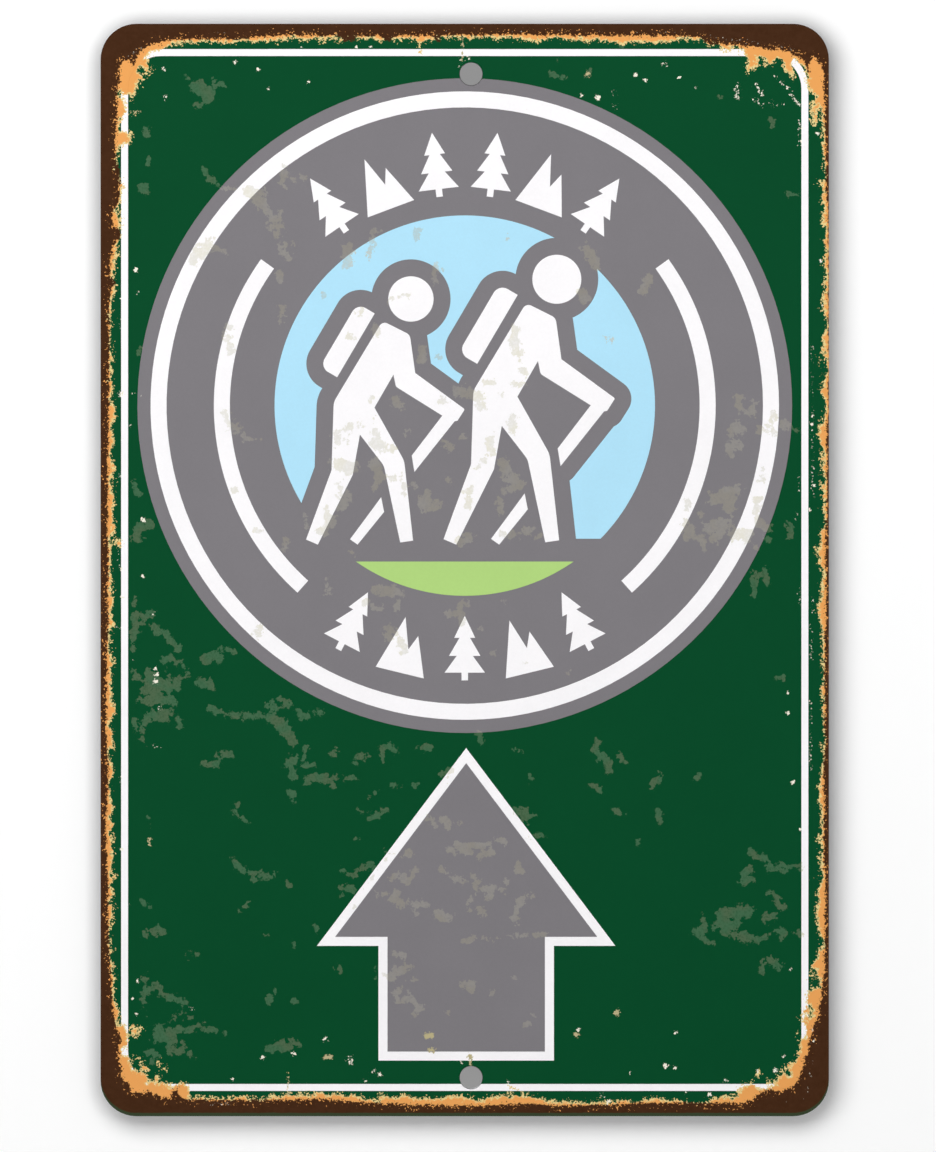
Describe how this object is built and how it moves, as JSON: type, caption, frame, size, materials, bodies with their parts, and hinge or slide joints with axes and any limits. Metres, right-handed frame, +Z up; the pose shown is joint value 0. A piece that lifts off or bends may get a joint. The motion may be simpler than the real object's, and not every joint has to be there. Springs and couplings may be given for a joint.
{
  "type": "trail sign",
  "caption": "Flat metal trail sign with rounded corners, a mounting hole near each end, a roundel with a picture of walkers, and an arrow that points up.",
  "frame": {"origin": "midway between the centres of the upper and the lower mounting hole, on the flat back face", "axes": "+X to the reader's right, +Y into what the sign is mounted on, so the printed face looks along -Y, +Z up"},
  "size_m": [0.3047, 0.0013, 0.4572],
  "materials": {
    "aluminium_sheet": "mill",
    "green_print": "satin",
    "brown_print": "matte, weathered",
    "white_print": "satin",
    "grey_print": "satin",
    "sky_print": "satin",
    "hill_print": "satin"
  },
  "bodies": {
    "root": {"sign_blank": "aluminium_sheet", "green_ground": "green_print", "brown_rim": "brown_print", "border_line": "white_print", "roundel_disc": "grey_print", "roundel_ring": "white_print", "left_arc": "white_print", "right_arc": "white_print", "left_sky": "sky_print", "right_sky": "sky_print", "hill_panel": "hill_print", "rear_hiker_head": "white_print", "rear_hiker_pack": "white_print", "rear_hiker_body": "white_print", "rear_hiker_staff": "white_print", "front_hiker_head": "white_print", "front_hiker_pack": "white_print", "front_hiker_body": "white_print", "front_hiker_staff": "white_print", "upper_pines": "white_print", "upper_peaks": "white_print", "lower_pines": "white_print", "lower_peaks": "white_print", "arrow_edge": "white_print", "arrow_face": "grey_print"}
  },
  "joints": []
}
